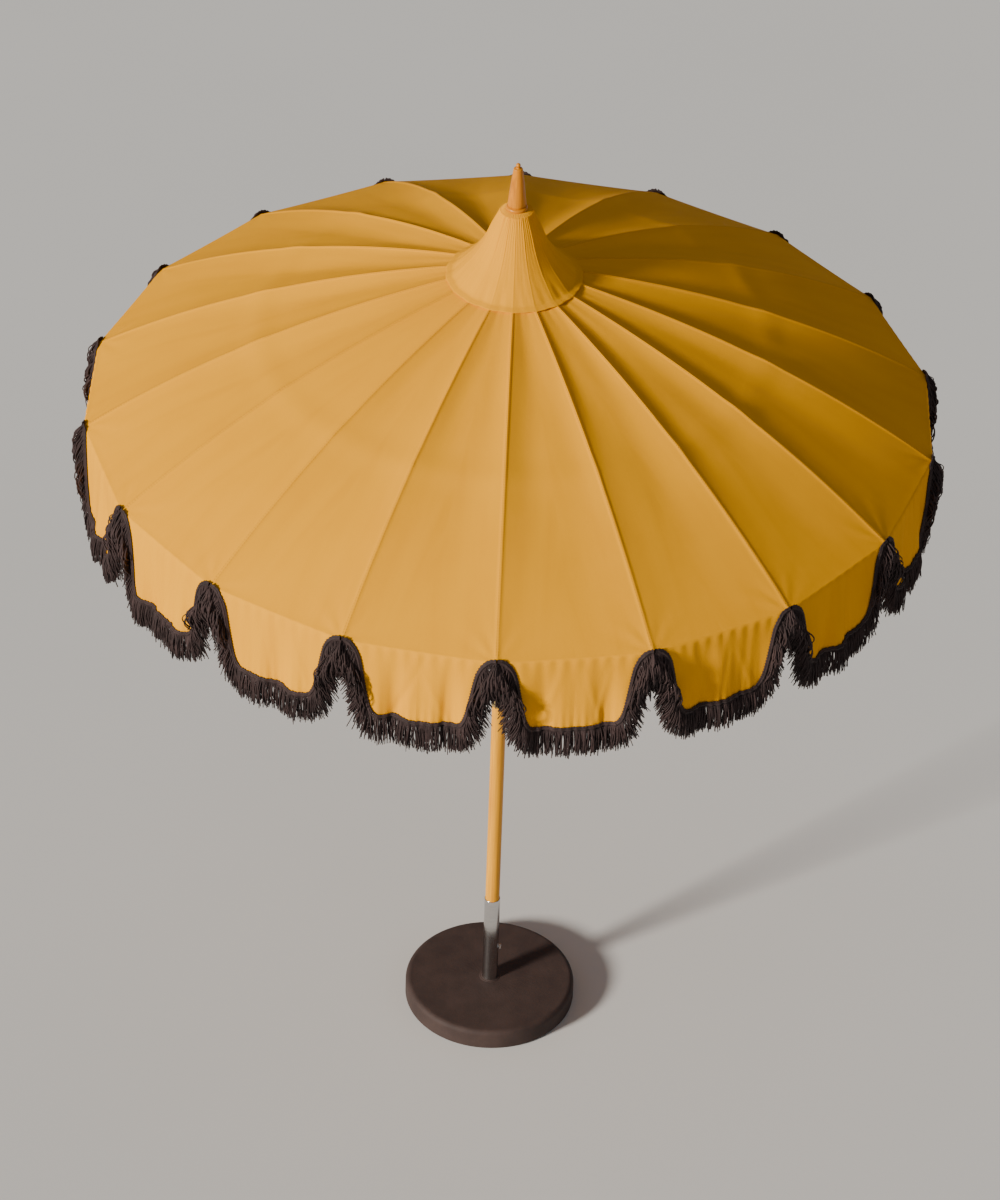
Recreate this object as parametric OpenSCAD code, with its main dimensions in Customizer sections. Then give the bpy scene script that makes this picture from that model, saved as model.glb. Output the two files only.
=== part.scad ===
// Pagoda garden umbrella on a weighted disc base: 18 wooden ribs and stretchers,
// a two-part wooden pole, a sliding runner, and a canvas cover with a fringed valance.
// Units are millimetres. +Z is up, and the origin is under the middle of the base, on the floor.

/* [Base] */
// Radius of the weighted base disc
base_r = 218; // [160:1:300]
// Height of the base above the floor, with its pad
base_h = 57; // [40:1:90]
// Radius of the rounded shoulder of the base
base_shoulder = 14; // [4:1:20]
// Wall of the pressed steel base cover
base_wall = 2; // [1:0.1:4]
// Height of the rubber floor pad
pad_h = 3; // [2:0.5:6]
// Outer radius of the stem tube
stem_r = 20; // [19:0.1:26]
// Height of the stem tube's top above the floor
stem_top = 325; // [200:1:450]

/* [Pole] */
// Radius of the wooden pole
pole_r = 18; // [15:0.5:24]
// Height at which the two pole halves meet
pole_split = 1025; // [900:1:1100]
// Height of the pole's top, under the finial
pole_top = 2405; // [2300:1:2500]
// Length of the ferrule that joins the pole halves
ferrule_len = 130; // [90:1:180]

/* [Crown and runner] */
// Radius of the crown that the ribs hang from
crown_r = 52; // [48:1:60]
// Radius of the circle of rib pivots
rib_pivot_r = 45; // [42:0.5:50]
// Height of the rib pivots
rib_pivot_z = 2244; // [2200:1:2300]
// Radius of the runner's hub
runner_r = 50; // [46:1:60]
// Radius of the circle of stretcher pivots on the runner
run_pivot_r = 42; // [40:0.5:48]
// Height of the stretcher pivots on the runner with the umbrella open
run_pivot_z = 1775; // [1700:1:1850]

/* [Ribs and stretchers] */
// Width of a rib
rib_w = 8; // [6:0.5:12]
// Radius of the canopy at the rib tips
rim_r = 1000; // [900:1:1200]
// Height of the rib tips
rim_z = 1875; // [1800:1:1950]
// Radius at which a stretcher meets its rib
joint_r = 520; // [450:1:600]
// Height at which a stretcher meets its rib
joint_z = 2084; // [2050:1:2100]
// Width of a stretcher
str_w = 6.4; // [5:0.1:7]

/* [Cover] */
// Depth of the valance below the rim
valance_h = 188; // [120:1:240]
// Length of the fringe below the valance
fringe_len = 68; // [30:1:100]
// Thickness of the cover cloth
cloth_t = 1.5; // [1:0.1:3]

/* [Hidden] */
ribs_n = 18;
step = 360 / ribs_n;
stem_bore = pole_r + 0.15;
bore_slide = pole_r + 0.1;
lower_z0 = 62;
wood_c = [0.78, 0.50, 0.18];
steel_c = [0.72, 0.72, 0.72];
dark_c = [0.20, 0.15, 0.14];
cloth_c = [0.87, 0.64, 0.20];
fringe_c = [0.18, 0.13, 0.12];
brass_c = [0.75, 0.60, 0.30];
// Height of the cover's seam line over a rib, at its stations
seam = [[118, 2237.3], [130, 2234], [350, 2173], [600, 2088], [800, 1989], [1000, 1875]];
// Half width of a gap between two valance flaps, and its depth below the rim
gap = [[0.5, 0], [19, 15], [36, 51], [54, 112], [73, 178], [86, 192], [86, 300]];

// ---- Base ----

module base_pad() {
  color([0.1, 0.1, 0.1]) difference() {
    cylinder(h = pad_h, r = base_r - 13, $fn = 96);
    for (a = [45 : 90 : 315]) rotate([0, 0, a]) translate([150, 0, -1]) cylinder(h = 2.2, r = 6, $fn = 32);
  }
}

module base_shell() {
  s = base_shoulder;
  k = s * (1 - cos(45));
  color(dark_c) difference() {
    rotate_extrude($fn = 128) polygon([[stem_r, base_h], [stem_r, base_h - base_wall],
      [base_r - s, base_h - base_wall], [base_r - k - 1.4, base_h - k - 1.4],
      [base_r - base_wall, base_h - s], [base_r - base_wall, pad_h], [base_r, pad_h],
      [base_r, base_h - s], [base_r - s * (1 - cos(22.5)), base_h - s * (1 - sin(22.5))],
      [base_r - k, base_h - k], [base_r - s * (1 - cos(67.5)), base_h - s * (1 - sin(67.5))],
      [base_r - s, base_h]]);
  }
}

module base_fill() {
  r = base_r - base_wall;
  color([0.6, 0.6, 0.58]) difference() {
    rotate_extrude($fn = 128) polygon([[0, pad_h], [r, pad_h], [r, base_h - base_shoulder],
      [base_r - base_shoulder * (1 - cos(45)) - 1.4, base_h - base_shoulder * (1 - cos(45)) - 1.4],
      [base_r - base_shoulder, base_h - base_wall], [0, base_h - base_wall]]);
    translate([0, 0, 8]) cylinder(h = 100, r = stem_r, $fn = 64);
    translate([0, 0, 8]) cylinder(h = 5, r = 60, $fn = 64);
  }
}

module stem_tube() {
  color(steel_c) difference() {
    union() {
      translate([0, 0, 8]) cylinder(h = stem_top - 8, r = stem_r, $fn = 64);
      translate([0, 0, 8]) cylinder(h = 5, r = 60, $fn = 64);
    }
    translate([0, 0, 13]) cylinder(h = 400, r = stem_bore, $fn = 64);
    translate([0, 0, 160]) rotate([0, 90, 0]) cylinder(h = 40, r = 3.1, $fn = 32);
  }
}

module stem_plug() {
  color([0.15, 0.15, 0.15]) translate([0, 0, 13]) cylinder(h = lower_z0 - 13, r = stem_bore, $fn = 64);
}

module set_screw() {
  color(steel_c) translate([0, 0, 160]) rotate([0, 90, 0]) union() {
    translate([0, 0, pole_r + 0.4]) cylinder(h = 8, r = 3, $fn = 32);
    difference() {
      translate([0, 0, stem_r + 1]) cylinder(h = 6, r = 6, $fn = 48);
      translate([0, 0, stem_r + 5]) cylinder(h = 4, r = 2.9, $fn = 6);
    }
  }
}

// ---- Pole ----

module lower_pole() {
  color(wood_c) translate([0, 0, lower_z0]) cylinder(h = pole_split - lower_z0, r = pole_r, $fn = 64);
}

module pole_ferrule() {
  color(brass_c) difference() {
    translate([0, 0, pole_split - ferrule_len / 2]) cylinder(h = ferrule_len, r = 19.6, $fn = 64);
    translate([0, 0, pole_split - ferrule_len / 2 - 1]) cylinder(h = ferrule_len / 2 + 1, r = pole_r, $fn = 64);
    translate([0, 0, pole_split]) cylinder(h = ferrule_len / 2 + 1, r = bore_slide, $fn = 64);
  }
}

module upper_pole() {
  color(wood_c) translate([0, 0, pole_split]) cylinder(h = pole_top - pole_split, r = pole_r, $fn = 64);
}

// ---- Crown, finial and peak ----

module crown() {
  color(wood_c) difference() {
    translate([0, 0, 2222]) cylinder(h = 46, r = crown_r, $fn = 96);
    translate([0, 0, 2200]) cylinder(h = 100, r = pole_r, $fn = 64);
    for (i = [0 : ribs_n - 1]) rotate([0, 0, -90 + step * i])
      translate([34, -(rib_w + 1) / 2, 2220]) cube([30, rib_w + 1, 34]);
    translate([0, 0, rib_pivot_z]) rotate_extrude($fn = 96) translate([rib_pivot_r, 0]) circle(r = 1.4, $fn = 24);
  }
}

module crown_wire() {
  color(steel_c) translate([0, 0, rib_pivot_z]) rotate_extrude($fn = 96) translate([rib_pivot_r, 0]) circle(r = 1.4, $fn = 24);
}

module finial_ring() {
  color(wood_c) translate([0, 0, 2409]) difference() {
    rotate_extrude($fn = 64) polygon([[0, 0], [22, 0], [24.4, 1.6], [25, 4], [24.4, 6.4], [22.6, 8.2], [22.8, 9.2], [22, 12], [0, 12]]);
    translate([0, 0, -1]) cylinder(h = 20, r = 6, $fn = 32);
  }
}

module finial() {
  color(wood_c) translate([0, 0, 2405]) rotate_extrude($fn = 64)
    polygon([[0, 0], [6, 0], [6, 16], [21, 16], [21.3, 19], [20.4, 24], [18.4, 44], [15.6, 70], [12.8, 92], [11, 104],
      [10.4, 107], [8.4, 109], [5.6, 110.4], [4.6, 112], [4.8, 115], [5, 119], [4.4, 122], [2.6, 123.6], [0, 124]]);
}

module peak_collar() {
  color(wood_c) difference() {
    translate([0, 0, 2397]) rotate_extrude($fn = 64) polygon([[0, 0], [34.5, 0], [35.5, 4], [34, 8], [29, 10.6], [24, 12], [0, 12]]);
    translate([0, 0, 2390]) cylinder(h = 15, r = pole_r, $fn = 64);
    translate([0, 0, 2390]) cylinder(h = 40, r = 6, $fn = 32);
  }
}

module canopy_peak() {
  p = [[37.5, 2405], [57, 2363], [71, 2327], [94, 2288], [118, 2260], [141, 2236]];
  n = len(p);
  color(cloth_c) rotate_extrude($fn = 96)
    polygon(concat(p, [for (i = [n - 1 : -1 : 0]) [p[i][0] - cloth_t, p[i][1] - (i == n - 1 ? cloth_t : 0.6)]]));
}

// ---- Cover ----

module canopy() {
  n = len(seam);
  color(cloth_c) rotate_extrude($fn = 144)
    polygon(concat([for (p = seam) [p[0], p[1] - 1.8]],
      [for (i = [n - 1 : -1 : 0]) [seam[i][0], seam[i][1] - 1.8 - cloth_t]]));
}

// One gap between two flaps, seen along its rib; g is how far it is narrowed.
module gap_cut(g) {
  n = len(gap);
  rotate([90, 0, 90]) linear_extrude(height = 200)
    polygon(concat([for (p = gap) [max(p[0] - g, 0.4), rim_z - p[1] - g]],
      [for (i = [n - 1 : -1 : 0]) [-max(gap[i][0] - g, 0.4), rim_z - gap[i][1] - g]]));
}

module valance() {
  color(cloth_c) difference() {
    translate([0, 0, rim_z - valance_h]) cylinder(h = valance_h - 4.5, r = rim_r + cloth_t, $fn = 144);
    translate([0, 0, rim_z - valance_h - 1]) cylinder(h = valance_h + 2, r = rim_r, $fn = 144);
    for (i = [0 : ribs_n - 1]) rotate([0, 0, -90 + step * i]) translate([900, 0, 0]) gap_cut(0);
  }
}

// The part of a flap that shows inside its braid, seen along the middle of the gore.
module flap_cut() {
  w = rim_r * sin(step / 2);
  b = 12;
  rotate([90, 0, 90]) linear_extrude(height = 200)
    polygon([[-w + 36, rim_z + 5], [-w + 47 + b, rim_z - 51], [-w + 54 + b, rim_z - 112], [-w + 70 + b, rim_z - valance_h + b],
      [w - 70 - b, rim_z - valance_h + b], [w - 54 - b, rim_z - 112], [w - 47 - b, rim_z - 51], [w - 36, rim_z + 5]]);
}

module fringe() {
  color(fringe_c) difference() {
    translate([0, 0, rim_z - valance_h - fringe_len]) cylinder(h = valance_h + fringe_len - 6, r = rim_r + cloth_t + 3.3, $fn = 144);
    translate([0, 0, rim_z - valance_h - fringe_len - 1]) cylinder(h = 400, r = rim_r + cloth_t + 0.3, $fn = 144);
    for (i = [0 : ribs_n - 1]) {
      rotate([0, 0, -90 + step * i]) translate([900, 0, 0]) gap_cut(12);
      rotate([0, 0, -90 + step * (i + 0.5)]) translate([900, 0, 0]) flap_cut();
    }
  }
}

// ---- Runner ----

module runner() {
  color(brass_c) difference() {
    union() {
      translate([0, 0, run_pivot_z - 35]) cylinder(h = 60, r = runner_r, $fn = 96);
      translate([0, 0, run_pivot_z - 80]) cylinder(h = 46, r = 26, $fn = 64);
    }
    translate([0, 0, run_pivot_z - 100]) cylinder(h = 200, r = pole_r + 0.4, $fn = 64);
    for (i = [0 : ribs_n - 1]) rotate([0, 0, -90 + step * i])
      translate([33, -3.7, run_pivot_z - 45]) cube([30, 7.4, 100]);
    translate([0, 0, run_pivot_z]) rotate_extrude($fn = 96) translate([run_pivot_r, 0]) circle(r = 1.4, $fn = 24);
    translate([0, 0, run_pivot_z - 58]) rotate([0, 90, 0]) cylinder(h = 40, r = 4.1, $fn = 32);
  }
}

module runner_wire() {
  color(steel_c) translate([0, 0, run_pivot_z]) rotate_extrude($fn = 96) translate([run_pivot_r, 0]) circle(r = 1.4, $fn = 24);
}

module runner_knob() {
  color([0.15, 0.15, 0.15]) translate([0, 0, run_pivot_z - 58]) rotate([0, 90, 0]) union() {
    translate([0, 0, pole_r + 0.8]) cylinder(h = 10, r = 4, $fn = 32);
    translate([0, 0, 26.6]) cylinder(h = 12, r = 11, $fn = 48);
    for (a = [0 : 60 : 300]) rotate([0, 0, a]) translate([10, 0, 26.6]) cylinder(h = 12, r = 2.6, $fn = 24);
  }
}

// ---- Ribs and stretchers ----

// One rib, with its cheek plates and pin for the stretcher.
module rib_at(i) {
  rotate([0, 0, -90 + step * i]) rotate([90, 0, 0]) difference() {
    union() {
      linear_extrude(height = rib_w, center = true) polygon([[45, 2251], [130, 2230], [350, 2169], [600, 2084],
        [800, 1985], [994, 1874.4], [994, 1863], [800, 1974], [600, 2071], [350, 2155], [130, 2216], [45, 2237]]);
      translate([rib_pivot_r, rib_pivot_z, 0]) cylinder(h = rib_w, r = 7, center = true, $fn = 48);
      for (s = [-1, 1]) translate([0, 0, s * 4.8]) {
        linear_extrude(height = 1.6, center = true)
          polygon([[joint_r - 13, 2108], [joint_r + 13, 2099], [joint_r + 6, joint_z], [joint_r - 6, joint_z]]);
        translate([joint_r, joint_z, 0]) cylinder(h = 1.6, r = 6, center = true, $fn = 40);
      }
      translate([joint_r, joint_z, 0]) cylinder(h = 9.8, r = 2, center = true, $fn = 32);
    }
    translate([rib_pivot_r, rib_pivot_z, 0]) cylinder(h = 20, r = 2, center = true, $fn = 32);
  }
}

module stretcher_at(i) {
  dx = joint_r - run_pivot_r;
  dz = joint_z - run_pivot_z;
  len_s = sqrt(dx * dx + dz * dz);
  rotate([0, 0, -90 + step * i]) translate([run_pivot_r, 0, run_pivot_z]) rotate([0, -atan2(dz, dx), 0]) rotate([90, 0, 0]) difference() {
    union() {
      cylinder(h = str_w, r = 6, center = true, $fn = 48);
      translate([len_s, 0, 0]) cylinder(h = str_w, r = 6, center = true, $fn = 48);
      translate([0, -5, -str_w / 2]) cube([len_s, 10, str_w]);
    }
    cylinder(h = 20, r = 2.1, center = true, $fn = 32);
    translate([len_s, 0, 0]) cylinder(h = 20, r = 2.1, center = true, $fn = 32);
  }
}

module rib_00() { color(wood_c) rib_at(0); }
module rib_01() { color(wood_c) rib_at(1); }
module rib_02() { color(wood_c) rib_at(2); }
module rib_03() { color(wood_c) rib_at(3); }
module rib_04() { color(wood_c) rib_at(4); }
module rib_05() { color(wood_c) rib_at(5); }
module rib_06() { color(wood_c) rib_at(6); }
module rib_07() { color(wood_c) rib_at(7); }
module rib_08() { color(wood_c) rib_at(8); }
module rib_09() { color(wood_c) rib_at(9); }
module rib_10() { color(wood_c) rib_at(10); }
module rib_11() { color(wood_c) rib_at(11); }
module rib_12() { color(wood_c) rib_at(12); }
module rib_13() { color(wood_c) rib_at(13); }
module rib_14() { color(wood_c) rib_at(14); }
module rib_15() { color(wood_c) rib_at(15); }
module rib_16() { color(wood_c) rib_at(16); }
module rib_17() { color(wood_c) rib_at(17); }

module stretcher_00() { color(wood_c) stretcher_at(0); }
module stretcher_01() { color(wood_c) stretcher_at(1); }
module stretcher_02() { color(wood_c) stretcher_at(2); }
module stretcher_03() { color(wood_c) stretcher_at(3); }
module stretcher_04() { color(wood_c) stretcher_at(4); }
module stretcher_05() { color(wood_c) stretcher_at(5); }
module stretcher_06() { color(wood_c) stretcher_at(6); }
module stretcher_07() { color(wood_c) stretcher_at(7); }
module stretcher_08() { color(wood_c) stretcher_at(8); }
module stretcher_09() { color(wood_c) stretcher_at(9); }
module stretcher_10() { color(wood_c) stretcher_at(10); }
module stretcher_11() { color(wood_c) stretcher_at(11); }
module stretcher_12() { color(wood_c) stretcher_at(12); }
module stretcher_13() { color(wood_c) stretcher_at(13); }
module stretcher_14() { color(wood_c) stretcher_at(14); }
module stretcher_15() { color(wood_c) stretcher_at(15); }
module stretcher_16() { color(wood_c) stretcher_at(16); }
module stretcher_17() { color(wood_c) stretcher_at(17); }

base_pad();
base_shell();
base_fill();
stem_tube();
stem_plug();
set_screw();
lower_pole();
pole_ferrule();
upper_pole();
crown();
crown_wire();
finial_ring();
finial();
peak_collar();
canopy_peak();
canopy();
valance();
fringe();
runner();
runner_wire();
runner_knob();
rib_00();
rib_01();
rib_02();
rib_03();
rib_04();
rib_05();
rib_06();
rib_07();
rib_08();
rib_09();
rib_10();
rib_11();
rib_12();
rib_13();
rib_14();
rib_15();
rib_16();
rib_17();
stretcher_00();
stretcher_01();
stretcher_02();
stretcher_03();
stretcher_04();
stretcher_05();
stretcher_06();
stretcher_07();
stretcher_08();
stretcher_09();
stretcher_10();
stretcher_11();
stretcher_12();
stretcher_13();
stretcher_14();
stretcher_15();
stretcher_16();
stretcher_17();
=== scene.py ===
import bpy
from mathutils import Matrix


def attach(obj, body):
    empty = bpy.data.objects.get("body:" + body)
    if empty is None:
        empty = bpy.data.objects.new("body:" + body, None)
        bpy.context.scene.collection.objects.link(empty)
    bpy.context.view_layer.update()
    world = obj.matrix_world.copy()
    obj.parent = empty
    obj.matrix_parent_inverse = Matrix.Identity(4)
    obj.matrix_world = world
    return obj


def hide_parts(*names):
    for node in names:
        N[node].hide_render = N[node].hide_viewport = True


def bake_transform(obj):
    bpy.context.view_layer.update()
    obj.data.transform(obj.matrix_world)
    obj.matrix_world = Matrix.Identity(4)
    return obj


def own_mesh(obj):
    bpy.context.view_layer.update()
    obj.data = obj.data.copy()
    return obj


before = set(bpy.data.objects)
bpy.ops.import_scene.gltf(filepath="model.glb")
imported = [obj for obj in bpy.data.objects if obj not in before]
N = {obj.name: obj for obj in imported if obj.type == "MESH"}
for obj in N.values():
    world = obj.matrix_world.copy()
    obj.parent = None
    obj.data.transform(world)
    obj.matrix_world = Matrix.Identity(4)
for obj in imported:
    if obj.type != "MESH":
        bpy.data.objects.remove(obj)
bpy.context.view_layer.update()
import bpy, bmesh, math
import numpy as np
from mathutils import Matrix, Vector

D = bpy.data
RIBS = 18
STEP = math.radians(360 / RIBS)
AZ = [math.radians(-90 + 20 * i) for i in range(RIBS)]
S10, C10 = math.sin(STEP / 2), math.cos(STEP / 2)
RIM, RIM_Z = 1.0, 1.875
VAL_D = 0.188

# ---------------------------------------------------------------- camera
def make_camera(pos, yaw, pitch, roll, lens):
    y, p, r = (math.radians(a) for a in (yaw, pitch, roll))
    fwd = Vector((math.sin(y) * math.cos(p), math.cos(y) * math.cos(p), -math.sin(p)))
    right = fwd.cross(Vector((0, 0, 1))).normalized()
    up = right.cross(fwd)
    rr = math.cos(r) * right + math.sin(r) * up
    uu = -math.sin(r) * right + math.cos(r) * up
    m = Matrix((rr, uu, -fwd)).transposed().to_4x4()
    m.translation = Vector(pos)
    cam = D.objects.new("camera", D.cameras.new("camera"))
    bpy.context.scene.collection.objects.link(cam)
    cam.matrix_world = m
    cam.data.sensor_width = 36
    cam.data.lens = lens
    cam.data.clip_end = 200
    bpy.context.scene.camera = cam
    return cam

make_camera((0.077, -8.775, 7.983), -0.55, 37.36, 2.0, 136.2)

# ---------------------------------------------------------------- materials
def lin(r, g, b):
    f = lambda c: (c / 255 / 12.92) if c / 255 <= 0.04045 else ((c / 255 + 0.055) / 1.055) ** 2.4
    return (f(r), f(g), f(b), 1.0)

class M:
    """A small builder for node materials."""
    def __init__(self, name, rough=0.6, metallic=0.0, spec=0.5, coat=0.0, coat_rough=0.1, sheen=0.0, coord="Object"):
        self.m = D.materials.new(name)
        self.m.use_nodes = True
        self.t = self.m.node_tree
        self.b = self.t.nodes["Principled BSDF"]
        self.b.inputs["Roughness"].default_value = rough
        self.b.inputs["Metallic"].default_value = metallic
        self.b.inputs["Specular IOR Level"].default_value = spec
        self.b.inputs["Coat Weight"].default_value = coat
        self.b.inputs["Coat Roughness"].default_value = coat_rough
        self.b.inputs["Sheen Weight"].default_value = sheen
        self.c = self.n("ShaderNodeTexCoord").outputs[coord]
        self.h = None
    def n(self, kind, **kw):
        node = self.t.nodes.new(kind)
        for k, v in kw.items():
            setattr(node, k, v)
        return node
    def link(self, a, b):
        self.t.links.new(a, b)
    def mapped(self, scale=(1, 1, 1), rot=(0, 0, 0)):
        m = self.n("ShaderNodeMapping")
        m.inputs["Scale"].default_value = scale
        m.inputs["Rotation"].default_value = rot
        self.link(self.c, m.inputs["Vector"])
        return m.outputs["Vector"]
    def turned(self, rot_z, scale):
        a = self.n("ShaderNodeMapping")
        a.inputs["Rotation"].default_value = (0, 0, rot_z)
        self.link(self.c, a.inputs["Vector"])
        b = self.n("ShaderNodeMapping")
        b.inputs["Scale"].default_value = scale
        self.link(a.outputs["Vector"], b.inputs["Vector"])
        return b.outputs["Vector"]
    def noise(self, vec, scale, detail=4, rough=0.55, dist=0.0):
        t = self.n("ShaderNodeTexNoise")
        t.inputs["Scale"].default_value = scale
        t.inputs["Detail"].default_value = detail
        t.inputs["Roughness"].default_value = rough
        t.inputs["Distortion"].default_value = dist
        self.link(vec, t.inputs["Vector"])
        return t.outputs["Fac"]
    def wave(self, vec, scale, direction="X", dist=0.0, detail=0):
        t = self.n("ShaderNodeTexWave", bands_direction=direction)
        t.inputs["Scale"].default_value = scale
        t.inputs["Distortion"].default_value = dist
        t.inputs["Detail"].default_value = detail
        self.link(vec, t.inputs["Vector"])
        return t.outputs["Fac"]
    def ramp(self, fac, stops):
        r = self.n("ShaderNodeValToRGB")
        e = r.color_ramp.elements
        while len(e) < len(stops):
            e.new(0.5)
        for k, (p, col) in enumerate(stops):
            e[k].position, e[k].color = p, col
        self.link(fac, r.inputs["Fac"])
        return r.outputs["Color"]
    def math(self, op, a, b):
        t = self.n("ShaderNodeMath", operation=op)
        for k, v in enumerate((a, b)):
            if isinstance(v, (int, float)):
                t.inputs[k].default_value = v
            else:
                self.link(v, t.inputs[k])
        return t.outputs[0]
    def mix(self, fac, a, b, blend="MIX"):
        t = self.n("ShaderNodeMix", data_type="RGBA", blend_type=blend)
        for sock, v in ((t.inputs[0], fac), (t.inputs[6], a), (t.inputs[7], b)):
            if isinstance(v, (int, float, tuple)):
                sock.default_value = v
            else:
                self.link(v, sock)
        return t.outputs[2]
    def color(self, out):
        self.link(out, self.b.inputs["Base Color"])
    def roughness(self, fac, lo, hi):
        r = self.n("ShaderNodeMapRange")
        r.inputs["To Min"].default_value, r.inputs["To Max"].default_value = lo, hi
        self.link(fac, r.inputs["Value"])
        self.link(r.outputs["Result"], self.b.inputs["Roughness"])
    def bump(self, height, dist, strength=1.0):
        b = self.n("ShaderNodeBump")
        b.inputs["Distance"].default_value = dist
        b.inputs["Strength"].default_value = strength
        self.link(height, b.inputs["Height"])
        if self.h:
            self.link(self.h, b.inputs["Normal"])
        self.h = b.outputs["Normal"]
        self.link(self.h, self.b.inputs["Normal"])

def canvas_mat(name, c_lo, c_mid, c_hi):
    k = M(name, rough=0.85, spec=0.08, sheen=0.0, coord="UV")
    v = k.mapped()
    big = k.noise(v, 3.2, 3, 0.5)
    streak = k.noise(k.mapped((26, 2.2, 1)), 1.0, 4, 0.6)
    fine = k.noise(v, 420, 3, 0.7)
    wx, wy = k.wave(v, 260, "X", 0.6, 1), k.wave(v, 260, "Y", 0.6, 1)
    weave = k.math("MULTIPLY", wx, wy)
    tone = k.math("ADD", k.math("MULTIPLY", big, 0.55), k.math("MULTIPLY", streak, 0.45))
    col = k.ramp(tone, [(0.30, c_lo), (0.5, c_mid), (0.72, c_hi)])
    col = k.mix(0.10, col, k.ramp(fine, [(0.35, (0.25, 0.13, 0.02, 1)), (0.7, (1, 0.8, 0.4, 1))]), "MULTIPLY")
    col = k.mix(0.10, col, k.ramp(weave, [(0.0, (0.55, 0.45, 0.3, 1)), (0.6, (1, 1, 1, 1))]), "MULTIPLY")
    k.color(col)
    k.roughness(fine, 0.74, 0.9)
    k.bump(weave, 0.00025, 0.7)
    k.bump(streak, 0.0012, 0.25)
    k.bump(fine, 0.0002, 0.5)
    return k.m

def wood_mat(name, rot_z=None, gloss=0.35, coat=0.5, light=(0.86, 0.38, 0.006, 1), dark=(0.64, 0.25, 0.004, 1), along="Z"):
    k = M(name, rough=gloss, spec=0.3, coat=coat, coat_rough=0.12)
    if rot_z is None:
        g, f = k.mapped((22, 22, 0.9)), k.mapped((260, 260, 9))
    else:
        g, f = k.turned(rot_z, (1.1, 26, 26)), k.turned(rot_z, (10, 300, 300))
    rings = k.noise(g, 1.6, 5, 0.6, 1.6)
    fib = k.noise(f, 1.0, 4, 0.65)
    col = k.ramp(rings, [(0.30, dark), (0.48, light), (0.60, tuple(0.86 * c for c in light[:3]) + (1,)), (0.75, light)])
    col = k.mix(0.35, col, k.ramp(fib, [(0.35, (0.55, 0.40, 0.25, 1)), (0.65, (1, 1, 1, 1))]), "MULTIPLY")
    k.color(col)
    k.roughness(fib, gloss - 0.08, gloss + 0.14)
    k.bump(fib, 0.0002, 0.35)
    k.bump(rings, 0.0003, 0.15)
    return k.m

def grain_mat(name, c1, c2, rough, metallic=0.0, scale=160, bump=0.0003, spec=0.5, coat=0.0, second=9, strength=0.6, stretch=(1, 1, 1)):
    k = M(name, rough=rough, metallic=metallic, spec=spec, coat=coat)
    v = k.mapped(stretch)
    fine, big = k.noise(v, scale, 5, 0.65), k.noise(v, second, 4, 0.55)
    tone = k.math("ADD", k.math("MULTIPLY", fine, 0.5), k.math("MULTIPLY", big, 0.5))
    k.color(k.ramp(tone, [(0.36, c1), (0.64, c2)]))
    k.roughness(fine, max(0.04, rough - 0.06), min(1, rough + 0.1))
    k.bump(fine, bump, strength)
    return k.m

CANVAS = canvas_mat("canvas_gold", (0.820, 0.348, 0.0008, 1), (0.875, 0.382, 0.0012, 1), (0.920, 0.410, 0.003, 1))
# painted light: a second copy of the same canvas, its tone shifted for how the top of the canopy is lit
CANVAS_TOP_PAINTED_LIGHT = canvas_mat("canvas_gold_painted_toplight", (0.790, 0.335, 0.004, 1), (0.840, 0.370, 0.007, 1), (0.880, 0.400, 0.012, 1))
THREAD = grain_mat("sewing_thread", (0.42, 0.17, 0.008, 1), (0.50, 0.21, 0.012, 1), 0.7, scale=900, bump=0.0001)
YARN = grain_mat("fringe_yarn", lin(34, 23, 22), lin(66, 48, 46), 0.78, scale=700, bump=0.0004, second=22, spec=0.35)
BRAID = grain_mat("fringe_braid", lin(30, 20, 19), lin(60, 43, 41), 0.74, scale=520, bump=0.0005, second=40, spec=0.35)
WOOD = wood_mat("pole_wood", gloss=0.45, coat=0.05)
FINIAL = wood_mat("finial_wood", gloss=0.36, coat=0.10, light=(0.66, 0.235, 0.0006, 1), dark=(0.46, 0.15, 0.0004, 1))
CROWN = wood_mat("crown_wood", gloss=0.4, coat=0.3, light=lin(205, 146, 78), dark=lin(160, 104, 48))
RIBWOOD = [wood_mat(f"rib_wood_{i:02d}", rot_z=-AZ[i], gloss=0.42, coat=0.25, light=lin(212, 154, 84), dark=lin(170, 112, 52)) for i in range(RIBS)]
STEEL = grain_mat("polished_steel", (0.56, 0.56, 0.56, 1), (0.70, 0.70, 0.69, 1), 0.12, metallic=1.0, scale=60, bump=0.00005, stretch=(4, 4, 60), second=6, strength=0.3)
BRASS = grain_mat("brass", (0.55, 0.39, 0.15, 1), (0.72, 0.54, 0.24, 1), 0.3, metallic=1.0, scale=120, bump=0.0001, second=14, strength=0.3)
PAINT = grain_mat("base_paint", lin(50, 37, 33), lin(68, 52, 47), 0.72, scale=420, bump=0.0007, second=16, spec=0.35, strength=0.8)
RUBBER = grain_mat("rubber", (0.012, 0.012, 0.012, 1), (0.03, 0.03, 0.03, 1), 0.8, scale=260, bump=0.0003)
CONCRETE = grain_mat("concrete", (0.26, 0.25, 0.23, 1), (0.42, 0.41, 0.38, 1), 0.9, scale=90, bump=0.0008, second=30)
PLASTIC = grain_mat("black_plastic", (0.010, 0.010, 0.010, 1), (0.022, 0.022, 0.022, 1), 0.42, scale=340, bump=0.0001)

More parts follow.
